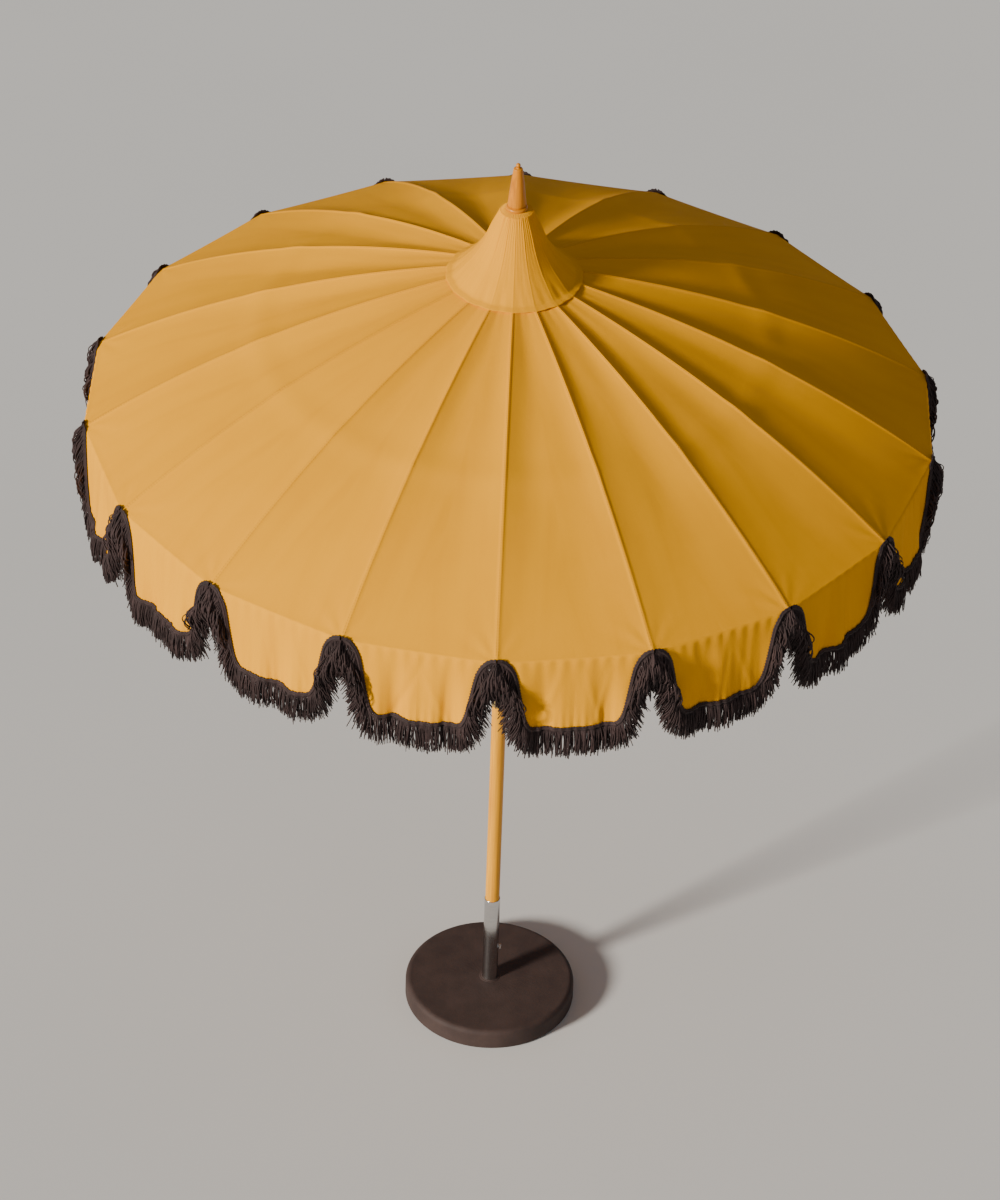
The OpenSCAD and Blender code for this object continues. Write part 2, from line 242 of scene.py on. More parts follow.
# ---------------------------------------------------------------- mesh helpers
def obj_from(name, verts, faces, mats, uvs=None, smooth=True, fmat=None):
    me = D.meshes.new(name)
    me.from_pydata([tuple(v) for v in verts], [], [tuple(int(x) for x in f) for f in faces])
    for m in mats:
        me.materials.append(m)
    if fmat is not None:
        me.polygons.foreach_set("material_index", np.asarray(fmat, dtype=np.int32))
    if uvs is not None:
        lay = me.uv_layers.new(name="UVMap")
        idx = np.zeros(len(me.loops), dtype=np.int32)
        me.loops.foreach_get("vertex_index", idx)
        lay.data.foreach_set("uv", np.asarray(uvs, dtype=np.float32)[idx].ravel())
    me.polygons.foreach_set("use_smooth", np.full(len(me.polygons), smooth))
    me.update()
    o = D.objects.new(name, me)
    bpy.context.scene.collection.objects.link(o)
    return o

def grid_faces(rows, cols, base=0, wrap=False, flip=False):
    r, c = np.meshgrid(np.arange(rows - 1), np.arange(cols if wrap else cols - 1), indexing="ij")
    c2 = (c + 1) % cols
    f = np.stack([r * cols + c, r * cols + c2, (r + 1) * cols + c2, (r + 1) * cols + c], -1).reshape(-1, 4) + base
    return f[:, ::-1] if flip else f

def revolve(name, profile, mat, segs=128, z0=0.0, disp=None, sharp=35):
    p = np.array(profile, float)
    a = np.linspace(0, 2 * math.pi, segs, endpoint=False)
    R, A = np.meshgrid(p[:, 0], a, indexing="ij")
    Z = np.repeat(p[:, 1:2], segs, 1) + z0
    if disp is not None:
        R, Z = disp(R, A, Z)
    v = np.stack([R * np.cos(A), R * np.sin(A), Z], -1).reshape(-1, 3)
    o = obj_from(name, v, grid_faces(len(p), segs, wrap=True, flip=False), [mat])
    bm = bmesh.new(); bm.from_mesh(o.data)
    bmesh.ops.remove_doubles(bm, verts=bm.verts, dist=1e-6)
    bmesh.ops.recalc_face_normals(bm, faces=bm.faces)
    bm.to_mesh(o.data); bm.free()
    o.data.set_sharp_from_angle(angle=math.radians(sharp))
    return o

def bake_mods(o):
    """Replaces the mesh with its evaluated one and drops the modifiers."""
    dg = bpy.context.evaluated_depsgraph_get()
    me = D.meshes.new_from_object(o.evaluated_get(dg))
    o.modifiers.clear()
    o.data = me
    return o

def arc(cx, cz, r, a0, a1, n):
    return [(cx + r * math.cos(math.radians(a)), cz + r * math.sin(math.radians(a))) for a in np.linspace(a0, a1, n)]

def rot(v, a):
    c, s = math.cos(a), math.sin(a)
    v = np.asarray(v, float)
    return np.stack([c * v[..., 0] - s * v[..., 1], s * v[..., 0] + c * v[..., 1], v[..., 2]], -1)

# ---------------------------------------------------------------- cloth shape
_st = np.array([(0.118, 2.2373), (0.13, 2.234), (0.35, 2.173), (0.60, 2.088), (0.80, 1.989), (1.0, 1.875)])
_pc = np.polyfit(_st[:, 0], _st[:, 1], 3)
def seam_z(r):
    r = np.asarray(r, float)
    z = np.polyval(_pc, r)
    lin_z = np.interp(r, _st[:, 0], _st[:, 1])
    z = np.maximum(z, lin_z)
    return z + (RIM_Z - np.polyval(_pc, 1.0)) * np.clip((r - 0.85) / 0.15, 0, 1) * 0

rng = np.random.default_rng(41)
G = [dict(p=rng.uniform(0, 6.28, 8), l=rng.uniform(0.9, 1.15, 4), a=rng.uniform(0.75, 1.25, 4), c=rng.uniform(0.10, 0.25, 4), m=rng.uniform(-0.45, 0.45, 4), h=rng.uniform(-1, 1, 4)) for _ in range(RIBS)]

def gore(i, side):
    return i if side > 0 else (i - 1) % RIBS

def gore_u(u, r, side):
    """Distance along the gore's chord, from its lower-numbered rib."""
    full = 2 * r * S10
    return u if side > 0 else full - u

def panel(i, side, u, r):
    """A point on the cover, in rib i's own frame. u is the distance from the rib along the chord."""
    g = G[gore(i, side)]
    u, r = np.asarray(u, float), np.asarray(r, float)
    half = r * S10
    s = np.clip(u / (2 * half), 0, 0.5)
    U = gore_u(u, r, side)
    t = np.clip((r - 0.12) / 0.88, 0, 1)
    bell = 4 * s * (1 - s)
    sag = (0.0115 * np.sin(math.pi * t ** 0.85) + 0.002) * bell ** 0.9
    env = bell * t * (1 - t) * 4
    low = 0.0013 * env * (np.sin(5.2 * r + 9 * U / (2 * half) + g["p"][0]) + 0.6 * np.sin(13 * r * g["l"][0] - 7 * U / (2 * half) + g["p"][1]))
    # creases that run from the rib tip and from the peak's skirt
    d1, f1 = np.hypot(u, 1.0 - r), np.arctan2(u, 1.0 - r + 1e-6)
    tip = 0.0016 * np.exp(-d1 / 0.055) * np.sin(9 * f1 + g["p"][2]) * np.clip(u / 0.01, 0, 1) * np.clip((1.0 - r) / 0.01, 0, 1)
    top = 0.0005 * np.exp(-(r - 0.12) / 0.08) * np.sin(2 * math.pi * 3 * U / (2 * half) + g["p"][3]) * bell
    z = seam_z(r) - sag + low + tip + top
    return np.stack([r - u * S10, side * u * C10, z], -1)

GAPX = np.array([(0, 0), (0.010, 0.0015), (0.018, 0.006), (0.026, 0.015), (0.0315, 0.025), (0.036, 0.037), (0.0405, 0.058), (0.045, 0.085), (0.0495, 0.111), (0.0545, 0.137), (0.060, 0.158), (0.067, 0.174), (0.076, 0.184), (0.090, 0.188)])
def gap_x(d):
    return np.interp(d, GAPX[:, 1], GAPX[:, 0])

def flap(i, side, u, d, out=0.0):
    """A point on a valance flap, in rib i's own frame: u along the chord, d down from the rim, out beyond the cloth."""
    g = G[gore(i, side)]
    u, d = np.asarray(u, float), np.asarray(d, float)
    half = RIM * S10
    U = gore_u(u, RIM, side)
    k = np.clip(d / VAL_D, 0, 1.4)
    fold = 0.0062 * k ** 1.1 * (g["a"][0] * np.sin(2 * math.pi * U / (0.118 * g["l"][1]) + g["p"][4]) + 0.55 * g["a"][1] * np.sin(2 * math.pi * U / (0.067 * g["l"][2]) + g["p"][5]))
    gather = 0.0012 * np.exp(-d / 0.03) * np.sin(2 * math.pi * U / 0.031 + g["p"][6]) * np.clip(d / 0.006, 0, 1)
    for c, m, h in zip(g["c"], g["m"], g["h"]):
        fold = fold + 0.0034 * h * np.clip(k, 0, 1) * np.exp(-((U - c - m * (d - 0.1)) / 0.0075) ** 2) * np.clip((U - 0.02) / 0.03, 0, 1) * np.clip((2 * half - 0.02 - U) / 0.03, 0, 1)
    fold = fold + 0.0011 * np.exp(-((VAL_D - d) / 0.035)) * np.sin(2 * math.pi * U / 0.017 + g["p"][7])
    bell = 4 * np.clip(u / (2 * half), 0, 0.5) * (1 - np.clip(u / (2 * half), 0, 0.5))
    o = 0.0035 * (1 - np.exp(-np.maximum(d, 0) / 0.004)) + fold + gather + 0.010 * k + out
    z = RIM_Z - 0.002 * bell ** 0.9 - d
    return np.stack([RIM - u * S10 + o * C10, side * (u * C10 + o * S10), z + 0 * o], -1)

def cover(i):
    cols = [0.0, 0.0010, 0.0036, 0.0046]
    tj = np.linspace(0, 1, 27)[1:] ** 0.94
    rr = np.concatenate([np.linspace(0.118, 0.16, 5), np.linspace(0.175, 0.93, 46), np.linspace(0.94, 0.992, 9), [0.9965, 0.999]])
    dd = np.concatenate([[0.0, 0.0012, 0.003, 0.006, 0.010], np.linspace(0.016, 0.17, 22), [0.176, 0.181, 0.185, 0.188]])
    verts, uvs, faces, base = [], [], [], 0
    half_rim = RIM * S10
    slen = np.concatenate([[0], np.cumsum(np.hypot(np.diff(rr), np.diff(seam_z(rr))))])
    top_len = slen[-1]
    for side in (1, -1):
        rows, uvr = [], []
        for k, r in enumerate(rr):
            half = r * S10
            u = np.array(cols + list(cols[-1] + (half - cols[-1]) * tj))
            p = panel(i, side, u, np.full(len(u), r))
            p[:, 2] += 0.0005 * np.array([1, 1, 1, 0] + [0] * len(tj))
            rows.append(p); uvr.append(np.stack([side * u, np.full(len(u), slen[k])], -1))
        tc = np.array(cols + list(cols[-1] + (half_rim - cols[-1]) * tj)) / half_rim
        for d in dd:
            x = gap_x(d)
            u = x + tc * (half_rim - x)
            p = flap(i, side, u, np.full(len(u), d))
            if d == 0:
                p[:, 2] += 0.0005 * np.array([1, 1, 1, 0] + [0] * len(tj))
            rows.append(p); uvr.append(np.stack([side * u, np.full(len(u), top_len + 0.002 + d)], -1))
        nr, nc = len(rows), len(rows[0])
        verts.append(np.concatenate(rows)); uvs.append(np.concatenate(uvr))
        faces.append(grid_faces(nr, nc, base, flip=side < 0)); base += nr * nc
    v = rot(np.concatenate(verts), AZ[i])
    o = obj_from(f"cover_{i:02d}", v, np.concatenate(faces), [CANVAS], np.concatenate(uvs))
    bm = bmesh.new(); bm.from_mesh(o.data)
    bmesh.ops.remove_doubles(bm, verts=bm.verts, dist=2e-6)
    bm.faces.ensure_lookup_table()
    bmesh.ops.recalc_face_normals(bm, faces=bm.faces)
    up = sum((f.normal.z for f in list(bm.faces)[:600]))
    if up < 0:
        bmesh.ops.reverse_faces(bm, faces=bm.faces)
    bm.to_mesh(o.data); bm.free()
    s = o.modifiers.new("thick", "SOLIDIFY"); s.thickness, s.offset = 0.0010, -1
    bake_mods(o)
    o.data.set_sharp_from_angle(angle=math.radians(50))
    return o

# ---------------------------------------------------------------- braid and fringe
def path_ud():
    pts = [(0.0, -0.0005), (0.010, 0.0015), (0.018, 0.006), (0.026, 0.015), (0.0315, 0.025), (0.036, 0.037), (0.0405, 0.058), (0.045, 0.085), (0.0495, 0.111), (0.0545, 0.137), (0.060, 0.158), (0.067, 0.173), (0.076, 0.183), (0.088, 0.1875), (0.105, 0.1885), (0.14, 0.1885), (S10, 0.1885)]
    p = np.array(pts)
    s = np.concatenate([[0], np.cumsum(np.hypot(*np.diff(p, axis=0).T))])
    return p, s
P_UD, P_S = path_ud()
def on_path(s):
    return np.interp(s, P_S, P_UD[:, 0]), np.interp(s, P_S, P_UD[:, 1])

def braid_tape(i, side, shift, width, thick, out, period, phase):
    """A scalloped tape that follows the flap's edge. shift moves it into the flap."""
    ds = 0.002
    s = np.arange(0, P_S[-1] + ds / 2, ds)
    u, d = on_path(s)
    u2, d2 = on_path(s + 1e-3); u1, d1 = on_path(s - 1e-3)
    tu, td = u2 - u1, d2 - d1
    L = np.hypot(tu, td) + 1e-12
    nu, nd = -td / L * -1, -tu / L          # points into the flap: +u at the gap's side, up at the bottom
    half = 0.5 * width * (1 + 0.16 * np.sin(2 * math.pi * s / period + phase))
    m = 10
    rings = []
    for k in range(m):
        a = 2 * math.pi * k / m
        w = half * math.cos(a) + shift
        o = out + thick * math.sin(a) * (1 + 0.22 * np.sin(4 * math.pi * s / period + phase + 1.1))
        rings.append(flap(i, side, np.minimum(np.maximum(u + nu * w, -0.001), S10), d + nd * w, o))
    v = np.stack(rings, 1).reshape(-1, 3)
    f = grid_faces(len(s), m, wrap=True, flip=side < 0)
    return v, f

def tubes(root, vec, bend, length, radius, k=6, sides=4, taper=0.75, wav=None, rnd=None):
    """Many strands at once. root, vec, bend: (n, 3); a strand leaves root along vec and bulges along bend."""
    n = len(root)
    t = np.linspace(0, 1, k)[None, :, None]
    c = root[:, None] + vec[:, None] * length[:, None, None] * t + bend[:, None] * np.sin(math.pi * np.minimum(t * 1.15, 1)) 
    if wav is not None:
        ph = rnd.uniform(0, 6.28, (n, 1, 1)); amp = rnd.uniform(0.3, 1, (n, 1, 1)) * wav
        x = np.cross(vec, np.array([0, 1.0, 0.2])); x /= np.linalg.norm(x, axis=1)[:, None] + 1e-9
        y = np.cross(vec, x)
        c = c + x[:, None] * amp * np.sin(7 * t + ph) * t + y[:, None] * amp * np.cos(5.3 * t + ph * 1.7) * t
    T = np.gradient(c, axis=1); T /= np.linalg.norm(T, axis=2)[..., None] + 1e-12
    ref = np.array([0.36, 0.93, 0.05])
    X = np.cross(T, ref); X /= np.linalg.norm(X, axis=2)[..., None] + 1e-9
    Y = np.cross(T, X)
    rad = radius[:, None] * (1 - (1 - taper) * t[..., 0])
    a = np.arange(sides) * 2 * math.pi / sides
    v = c[:, :, None] + rad[:, :, None, None] * (X[:, :, None] * np.cos(a)[None, None, :, None] + Y[:, :, None] * np.sin(a)[None, None, :, None])
    v = v.reshape(-1, 3)
    f = grid_faces(k, sides, wrap=True)
    caps = np.array([list(range(sides))[::-1], [(k - 1) * sides + j for j in range(sides)]])
    f = np.concatenate([f, caps])
    F = (f[None] + (np.arange(n) * k * sides)[:, None, None]).reshape(-1, 4)
    return v, F

def fringe(i):
    rnd = np.random.default_rng(700 + i)
    V, F, MI, base = [], [], [], 0
    def add(v, f, m):
        nonlocal base
        V.append(v); F.append(np.asarray(f) + base); MI.append(np.full(len(f), m)); base += len(v)
    s_gap = P_S[12]
    for side in (1, -1):
        add(*braid_tape(i, side, 0.0035, 0.0125, 0.0022, 0.0026, 0.0075, 0.0), 1)
        add(*braid_tape(i, side, 0.0035, 0.0045, 0.0016, 0.0048, 0.0050, 1.3), 1)
        for layer in range(3):
            s = np.concatenate([np.arange(0.001 + 0.0007 * layer, s_gap, 0.0018), np.arange(s_gap + 0.0005 * layer, P_S[-1] - 0.0006, 0.0019)])
            s = s + rnd.uniform(-0.0006, 0.0006, len(s)); s = np.clip(s, 0, P_S[-1] - 0.0008)
            u, d = on_path(s)
            o = [0.0030, 0.0010, -0.0022][layer]
            root = flap(i, side, u, d, o)
            n = len(s)
            lean = rnd.normal(0, 0.055, n); outw = rnd.normal(0.05 - 0.05 * layer, 0.05, n)
            clump = 0.05 * np.sin(2 * math.pi * s / 0.021 + rnd.uniform(0, 6))
            fan = np.clip((s_gap + 0.004 - s) / 0.05, 0, 1) * np.clip(u / 0.030, 0, 1) * rnd.uniform(0.08, 0.62, n)
            vec = np.stack([outw * C10, lean + clump - side * fan, -np.ones(n)], -1)
            vec /= np.linalg.norm(vec, axis=1)[:, None]
            gapw = np.clip((s_gap - s) / 0.03, 0, 1)
            length = rnd.normal(0.066, 0.004, n) * (1 + 0.14 * gapw * rnd.uniform(-0.4, 1, n))
            bend = np.stack([rnd.uniform(0.000, 0.006, n) * (1 + gapw), rnd.normal(0, 0.0016, n), np.zeros(n)], -1)
            add(*tubes(root, vec, bend, length, rnd.uniform(0.0010, 0.0015, n), 6, 4, 0.85, 0.0011, rnd), 0)
    # looped tuft at the top of the gap
    n = 240
    q = rnd.uniform(-1, 1, n)
    d = 0.001 + 0.075 * np.abs(q) ** 2.0 + rnd.uniform(-0.004, 0.022, n)
    root = np.stack([RIM + 0.0015 + rnd.uniform(-0.001, 0.004, n), q * (0.020 + 0.28 * d), RIM_Z - d], -1)
    vec = np.stack([rnd.normal(0.02, 0.04, n), rnd.normal(0, 0.10, n) + 0.12 * q, -np.ones(n)], -1)
    vec /= np.linalg.norm(vec, axis=1)[:, None]
    bend = np.stack([rnd.uniform(0.010, 0.024, n), rnd.normal(0, 0.005, n) + 0.007 * q, rnd.uniform(0, 0.004, n)], -1)
    add(*tubes(root, vec, bend, rnd.uniform(0.045, 0.098, n), rnd.uniform(0.0014, 0.0021, n), 9, 4, 0.9, 0.0025, rnd), 0)
    v = rot(np.concatenate(V), AZ[i])
    quads = [f for f in F]
    faces = [list(r) for f in quads for r in f]
    mi = np.concatenate(MI)
    return obj_from(f"fringe_{i:02d}", v, faces, [YARN, BRAID], fmat=mi)

# ---------------------------------------------------------------- the gathered peak
_pk = np.array([(2.2284, 0.1600), (2.2312, 0.1520), (2.2368, 0.1410), (2.2600, 0.1185), (2.2880, 0.0945), (2.3270, 0.0712), (2.3630, 0.0565), (2.4050, 0.0375)])
def _spline(p, n):
    """Points along a smooth curve through p."""
    q = np.concatenate([[2 * p[0] - p[1]], p, [2 * p[-1] - p[-2]]])
    t = np.linspace(0, len(p) - 1 - 1e-9, n); k = t.astype(int); f = (t - k)[:, None]
    a, b, c, d = q[k], q[k + 1], q[k + 2], q[k + 3]
    return 0.5 * (2 * b + (c - a) * f + (2 * a - 5 * b + 4 * c - d) * f ** 2 + (3 * b - a - 3 * c + d) * f ** 3)
_pc2 = _spline(_pk, 400)
def peak_r(z):
    return np.interp(z, _pc2[:, 0], _pc2[:, 1])

def peak_point(z, a):
    """Radius swells between the seams and is gathered into fine folds towards the neck."""
    r = peak_r(z)
    t = np.clip((2.405 - z) / 0.17, 0, 1)
    q = np.cos(RIBS * (a - AZ[0]))
    fold = 0.00035 * (1 - t) ** 1.5 * np.cos(72 * a + 1.3 * np.sin(3 * a)) + 0.0004 * np.exp(-((t - 0.03) / 0.10) ** 2) * np.cos(54 * a + 40 * z)
    skirt = np.exp(-(1 - t) / 0.16) * 0.6
    crease = skirt * (0.0009 * np.sin(23 * a + 2.1) * np.cos(70 * z) + 0.0006 * np.sin(41 * a + 60 * z))
    rr = r * (1 - 0.006 * (1 - q) * t) + fold + crease + 0.0008 * np.exp(-((((a - AZ[0]) * RIBS / (2 * math.pi) + 0.5) % 1 - 0.5) / 0.035) ** 2)
    return rr, z + skirt * 0.0004 * np.sin(18 * a)

def peak(i):
    zz = np.concatenate([np.linspace(2.2290, 2.238, 12), np.linspace(2.240, 2.262, 10), np.linspace(2.268, 2.405, 34)])
    q = np.linspace(-1, 1, 33)
    Z, Q = np.meshgrid(zz, q, indexing="ij")
    A = AZ[i] + Q * STEP / 2
    R, Z2 = peak_point(Z, A)
    # the last rows turn under as a hem, which lies on the cover
    rows = [np.stack([R * np.cos(A), R * np.sin(A), Z2], -1)]
    R0, Zs = peak_point(np.full(len(q), 2.2290), A[0])
    first = np.stack([(R0 + 0.0012) * np.cos(A[0]), (R0 + 0.0012) * np.sin(A[0]), Zs - 0.0010], -1)
    under = np.stack([(R0 - 0.0045) * np.cos(A[0]), (R0 - 0.0045) * np.sin(A[0]), Zs - 0.0013], -1)
    v = np.concatenate([under[None], first[None], rows[0]]).reshape(-1, 3)
    nr, nc = len(zz) + 2, len(q)
    us = np.tile(q * 0.03, nr); vs = np.repeat(np.concatenate([[-0.006, -0.001], (zz - 2.2290) * 1.15]), nc)
    o = obj_from(f"peak_{i:02d}", v, grid_faces(nr, nc), [CANVAS], np.stack([us, vs], -1))
    s = o.modifiers.new("thick", "SOLIDIFY"); s.thickness, s.offset = 0.0009, -1
    bake_mods(o)
    o.data.set_sharp_from_angle(angle=math.radians(55))
    return o

# ---------------------------------------------------------------- stitches, tip caps, brackets
def boxes(centres, xs, ys, zs, hx, hy, hz):
    """Many small six-sided pieces with their own axes."""
    n = len(centres)
    k = np.array([(-1, -1, -1), (1, -1, -1), (1, 1, -1), (-1, 1, -1), (-1, -1, 1), (1, -1, 1), (1, 1, 1), (-1, 1, 1)], float)
    v = centres[:, None] + k[None, :, :1] * hx * xs[:, None] + k[None, :, 1:2] * hy * ys[:, None] + k[None, :, 2:] * hz * zs[:, None]
    f = np.array([(0, 3, 2, 1), (4, 5, 6, 7), (0, 1, 5, 4), (1, 2, 6, 5), (2, 3, 7, 6), (3, 0, 4, 7)])
    return v.reshape(-1, 3), (f[None] + (np.arange(n) * 8)[:, None, None]).reshape(-1, 4)

def stitches(i):
    V, F, base = [], [], 0
    r = np.arange(0.150, 0.990, 0.0060)
    for off in (0.0026, -0.0026):
        side = 1 if off > 0 else -1
        p0 = panel(i, side, np.full(len(r), abs(off)), r); p1 = panel(i, side, np.full(len(r), abs(off)), r + 0.0038)
        p0[:, 2] += 0.0006; p1[:, 2] += 0.0006
        c = (p0 + p1) / 2; x = p1 - p0; x /= np.linalg.norm(x, axis=1)[:, None]
        y = np.tile([0, 1.0, 0], (len(r), 1)); z = np.cross(x, y)
        v, f = boxes(c, x, y, z, 0.0019, 0.00032, 0.00028)
        V.append(v); F.append(f + base); base += len(v)
    return obj_from(f"seam_stitch_{i:02d}", rot(np.concatenate(V), AZ[i]), np.concatenate(F), [THREAD])

def hull_of(name, pts, mat, bevel=0.0):
    bm = bmesh.new()
    for p in pts:
        bm.verts.new(p)
    bmesh.ops.convex_hull(bm, input=bm.verts)
    bmesh.ops.dissolve_limit(bm, angle_limit=0.02, verts=bm.verts, edges=bm.edges)
    if bevel:
        bmesh.ops.bevel(bm, geom=list(bm.edges), offset=bevel, segments=2, affect="EDGES", profile=0.6)
    me = D.meshes.new(name); bm.to_mesh(me); bm.free()
    me.materials.append(mat)
    o = D.objects.new(name, me); bpy.context.scene.collection.objects.link(o)
    me.polygons.foreach_set("use_smooth", np.full(len(me.polygons), True))
    me.set_sharp_from_angle(angle=math.radians(35))
    return o

def join_objs(name, objs):
    bm = bmesh.new(); mats = []
    for o in objs:
        me = o.data
        start = len(bm.faces)
        bm.from_mesh(me)
        bm.faces.ensure_lookup_table()
        idx = []
        for m in me.materials:
            if m not in mats: mats.append(m)
            idx.append(mats.index(m))
        for f in bm.faces[start:]:
            f.material_index = idx[min(f.material_index, len(idx) - 1)] if idx else 0
    me = D.meshes.new(name); bm.to_mesh(me); bm.free()
    for m in mats: me.materials.append(m)
    for o in objs: D.objects.remove(o)
    r = D.objects.new(name, me); bpy.context.scene.collection.objects.link(r)
    me.set_sharp_from_angle(angle=math.radians(35))
    return r

def rib_fittings(i):
    """Brass cap at the rib's tip, and the two cheek plates with rivets for the stretcher."""
    parts = []
    def prism(pts, y0, y1, mat, bevel=0.0004):
        p = rot(np.array([(x, y, z) for x, z in pts for y in (y0, y1)]), AZ[i])
        parts.append(hull_of("tmp", [tuple(q) for q in p], mat, bevel))
    prism([(0.955, 1.9005), (0.9965, 1.8758), (0.9975, 1.8700), (0.9965, 1.8610), (0.990, 1.8615), (0.955, 1.8820)], -0.0056, 0.0056, BRASS)
    for s in (-1, 1):
        prism([(0.505, 2.1085), (0.535, 2.0985), (0.5272, 2.0840), (0.5250, 2.0785), (0.5200, 2.0770), (0.5150, 2.0785), (0.5128, 2.0840)], s * 0.0057, s * 0.0066, BRASS, 0.0002)
        for (x, z, rr) in ((0.520, 2.084, 0.0034), (0.512, 2.1005, 0.0024), (0.529, 2.0955, 0.0024)):
            a = np.arange(12) * math.pi / 6
            p = np.concatenate([np.stack([x + rr * k * np.cos(a), np.full(12, s * y), z + rr * k * np.sin(a)], -1) for k, y in ((1, 0.0062), (0.95, 0.0074), (0.55, 0.0082))])
            parts.append(hull_of("tmp", [tuple(q) for q in rot(p, AZ[i])], STEEL))
    return join_objs(f"rib_fittings_{i:02d}", parts)

# ---------------------------------------------------------------- turned and pressed parts
def finial_parts():
    z = 2.409
    prof = [(0.0, z + 0.0095), (0.0185, z + 0.0095)] + arc(0.0185, z + 0.0125, 0.0030, -90, 0, 5) + [(0.0213, z + 0.0145), (0.0209, z + 0.0185), (0.0196, z + 0.032), (0.0180, z + 0.047), (0.0158, z + 0.066), (0.0136, z + 0.084), (0.0118, z + 0.098), (0.0108, z + 0.1045)]
    prof += arc(0.0082, z + 0.1048, 0.0026, 0, 90, 5) + [(0.0060, z + 0.1076), (0.0049, z + 0.1086), (0.0047, z + 0.1100)] + arc(0.0, z + 0.1148, 0.0054, -55, 88, 12) + [(0.0, z + 0.1202)]
    f = revolve("finial_turned", prof, FINIAL, 96, sharp=50)
    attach(f, "upper"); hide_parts("finial")
    ring = [(0.0, z - 0.0010), (0.0205, z - 0.0010)] + arc(0.0207, z + 0.0036, 0.0045, -88, 88, 14) + [(0.0198, z + 0.0083), (0.0203, z + 0.0090), (0.0203, z + 0.0098), (0.0, z + 0.0098)]
    g = revolve("finial_base_ring", ring, FINIAL, 96, sharp=50)
    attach(g, "upper"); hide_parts("finial_ring")

def gathered_collar():
    """The cloth drawn in under the finial: a roll with fine gathers over a wooden disc."""
    def disp(R, A, Z):
        k = np.clip((R - 0.019) / 0.014, 0, 1)
        return R + 0.0007 * k * np.cos(48 * A) + 0.0004 * k * np.cos(31 * A + 1), Z + 0.0005 * k * np.sin(48 * A + 0.7)
    prof = [(0.0186, 2.398), (0.034, 2.397)] + arc(0.0345, 2.4010, 0.0042, -80, 70, 12) + [(0.0330, 2.4062), (0.0295, 2.4078), (0.0255, 2.4088), (0.0215, 2.4092), (0.0186, 2.4092)]
    # the collar takes the canvas copy retoned for the top's light: painted light
    o = revolve("peak_collar_cloth", prof, CANVAS_TOP_PAINTED_LIGHT, 288, disp=disp, sharp=60)
    uv = o.data.uv_layers.new(name="UVMap")
    co = np.array([v.co for v in o.data.vertices]); idx = np.zeros(len(o.data.loops), np.int32)
    o.data.loops.foreach_get("vertex_index", idx)
    uv.data.foreach_set("uv", np.stack([np.arctan2(co[:, 1], co[:, 0]) * 0.035, co[:, 2] + np.hypot(co[:, 0], co[:, 1])], -1)[idx].astype(np.float32).ravel())
    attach(o, "upper"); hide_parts("peak_collar")

def base_parts():
    R, H, s = 0.218, 0.057, 0.014
    prof = [(R - 0.0025, 0.0032), (R - 0.0004, 0.0036), (R, 0.0050)] + [(R, z) for z in np.linspace(0.008, H - s, 10)] + arc(R - s, H - s, s, 6, 90, 14) + [(r, H) for r in np.linspace(R - s - 0.003, 0.0300, 56)] + arc(0.0245, H + 0.0022, 0.0022, -90, -170, 5) + [(0.0203, H + 0.0030), (0.0201, H - 0.001)]
    nz = np.random.default_rng(9); K = nz.uniform(-1, 1, (60, 2)) * 900; P = nz.uniform(0, 6.28, 60)
    def disp(Rr, A, Z):
        x, y = Rr * np.cos(A), Rr * np.sin(A)
        h = sum(np.sin(kx * x + ky * y + 700 * Z + p) for (kx, ky), p in zip(K, P)) / 60
        top = (Z > H - s * 0.9) & (Rr > 0.033)
        edge = (Z <= H - s * 0.9) & (Z > 0.007)
        return Rr + edge * 0.0007 * h, Z + top * 0.0008 * h
    b = revolve("base_cover", prof, PAINT, 420, disp=disp, sharp=50)
    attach(b, "base"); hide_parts("base_shell")
    t = 0.325
    tube = [(0.01818, t - 0.262), (0.01818, t - 0.0015)] + [(0.0184, t - 0.0004), (0.0188, t), (0.0194, t), (0.0199, t - 0.0005)] + [(0.0200, z) for z in np.linspace(t - 0.0015, 0.0100, 24)] + [(0.0200, 0.0085), (0.0190, 0.0080)]
    st = revolve("stem_polished_tube", tube, STEEL, 96, sharp=40)
    collar = [(0.0201, 0.0562), (0.0262, 0.0562), (0.0266, 0.0570), (0.0262, 0.0578)] + arc(0.0215, 0.0612, 0.0034, -60, -175, 6) + [(0.0201, 0.0640)]
    weld = revolve("stem_weld_bead", collar, PAINT, 96, sharp=60)
    for o in (st, weld):
        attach(o, "base")
    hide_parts("stem_tube")
    # set screw: knurled thumb head with a socket, on a short shank
    a = np.linspace(0, 2 * math.pi, 73)[:-1]
    rows = []
    for x, r, kn in ((0.0186, 0.0029, 0), (0.0214, 0.0029, 0), (0.0214, 0.0052, 0), (0.0217, 0.0058, 1), (0.0262, 0.0058, 1), (0.0266, 0.0054, 0), (0.0266, 0.0030, 0), (0.0236, 0.0028, 0), (0.0236, 0.0002, 0)):
        rad = r * (1 + 0.045 * kn * np.sign(np.sin(24 * a)))
        if r in (0.0030, 0.0028):
            rad = r * 0.87 / np.maximum(np.cos((a + math.pi / 6) % (math.pi / 3) - math.pi / 6), 0.5)
        rows.append(np.stack([np.full(72, x), rad * np.cos(a), 0.160 + rad * np.sin(a)], -1))
    sc = obj_from("set_screw_thumb", np.concatenate(rows), grid_faces(len(rows), 72, wrap=True), [STEEL], smooth=True)
    bm = bmesh.new(); bm.from_mesh(sc.data); bmesh.ops.contextual_create(bm, geom=[e for e in bm.edges if e.is_boundary][:72]); bmesh.ops.recalc_face_normals(bm, faces=bm.faces); bm.to_mesh(sc.data); bm.free()
    sc.data.set_sharp_from_angle(angle=math.radians(30))
    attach(sc, "screw"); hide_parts("set_screw")

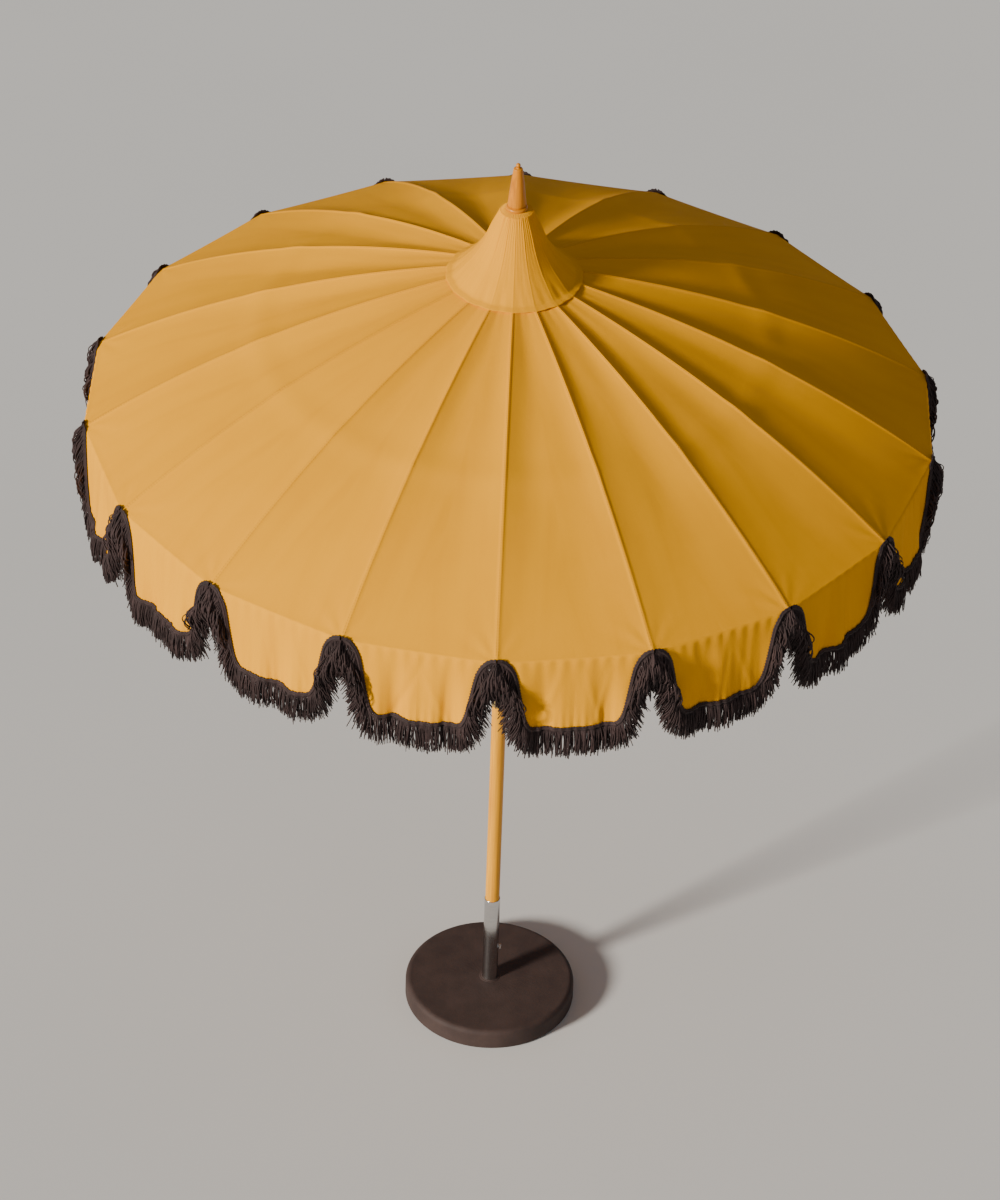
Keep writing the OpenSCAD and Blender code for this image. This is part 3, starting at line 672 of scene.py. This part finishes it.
# ---------------------------------------------------------------- build
for n, m in dict(base_pad=RUBBER, base_fill=CONCRETE, stem_plug=PLASTIC, lower_pole=WOOD, upper_pole=WOOD, pole_ferrule=BRASS, crown=CROWN, crown_wire=STEEL, runner=CROWN, runner_wire=STEEL, runner_knob=PLASTIC).items():
    N[n].data.materials.clear(); N[n].data.materials.append(m)
for i in range(RIBS):
    for n in (f"rib_{i:02d}", f"stretcher_{i:02d}"):
        N[n].data.materials.clear(); N[n].data.materials.append(RIBWOOD[i])
for n in ["lower_pole", "upper_pole", "crown", "runner", "runner_knob", "pole_ferrule"] + [f"{k}_{i:02d}" for k in ("rib", "stretcher") for i in range(RIBS)]:
    b = N[n].modifiers.new("edge", "BEVEL"); b.width, b.segments, b.limit_method, b.angle_limit = 0.0006, 2, "ANGLE", math.radians(40)
    b.harden_normals = False

finial_parts(); gathered_collar(); base_parts()
for i in range(RIBS):
    body = f"rib_body_{i:02d}"
    c = cover(i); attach(c, body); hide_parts("canopy", "valance")
    f = fringe(i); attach(f, body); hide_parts("fringe")
    s = stitches(i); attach(s, body)
    r = rib_fittings(i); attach(r, body)
    p = peak(i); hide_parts("canopy_peak")
    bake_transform(p)
    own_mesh(c)
    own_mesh(f)

# ---------------------------------------------------------------- floor and light
def plane(name, size, z, col):
    k = M(name, rough=0.9, spec=0.2)
    v = k.mapped((1, 1, 1))
    n1 = k.noise(v, 0.8, 3, 0.5)
    k.color(k.ramp(n1, [(0.3, tuple(0.97 * c for c in col[:3]) + (1,)), (0.7, col)]))
    o = obj_from(name, [(-size, -size, z), (size, -size, z), (size, size, z), (-size, size, z)], [(0, 1, 2, 3)], [k.m], smooth=False)
    return o

plane("floor", 90, -0.0004, (0.62, 0.61, 0.59, 1))

def area(name, pos, target, size, power, color=(1, 1, 1)):
    L = D.lights.new(name, "AREA"); L.shape = "DISK"; L.size = size; L.energy = power; L.color = color
    o = D.objects.new(name, L); bpy.context.scene.collection.objects.link(o)
    o.location = pos
    o.rotation_mode = "QUATERNION"
    o.rotation_quaternion = (Vector(target) - Vector(pos)).to_track_quat("-Z", "Y")

sun = D.lights.new("key", "SUN"); sun.energy, sun.angle, sun.color = 6.5, math.radians(9), (1.0, 0.95, 0.87)
so = D.objects.new("key", sun); bpy.context.scene.collection.objects.link(so)
so.rotation_mode = "QUATERNION"
so.rotation_quaternion = Vector((7.4, 5.5, -3.6)).to_track_quat("-Z", "Y")
area("fill", (5.5, -5.0, 4.5), (0, 0, 1.2), 5.0, 30, (0.93, 0.96, 1.0))
W = D.worlds.new("world"); bpy.context.scene.world = W; W.use_nodes = True
W.node_tree.nodes["Background"].inputs[0].default_value = (0.86, 0.90, 1.0, 1)
W.node_tree.nodes["Background"].inputs[1].default_value = 0.24
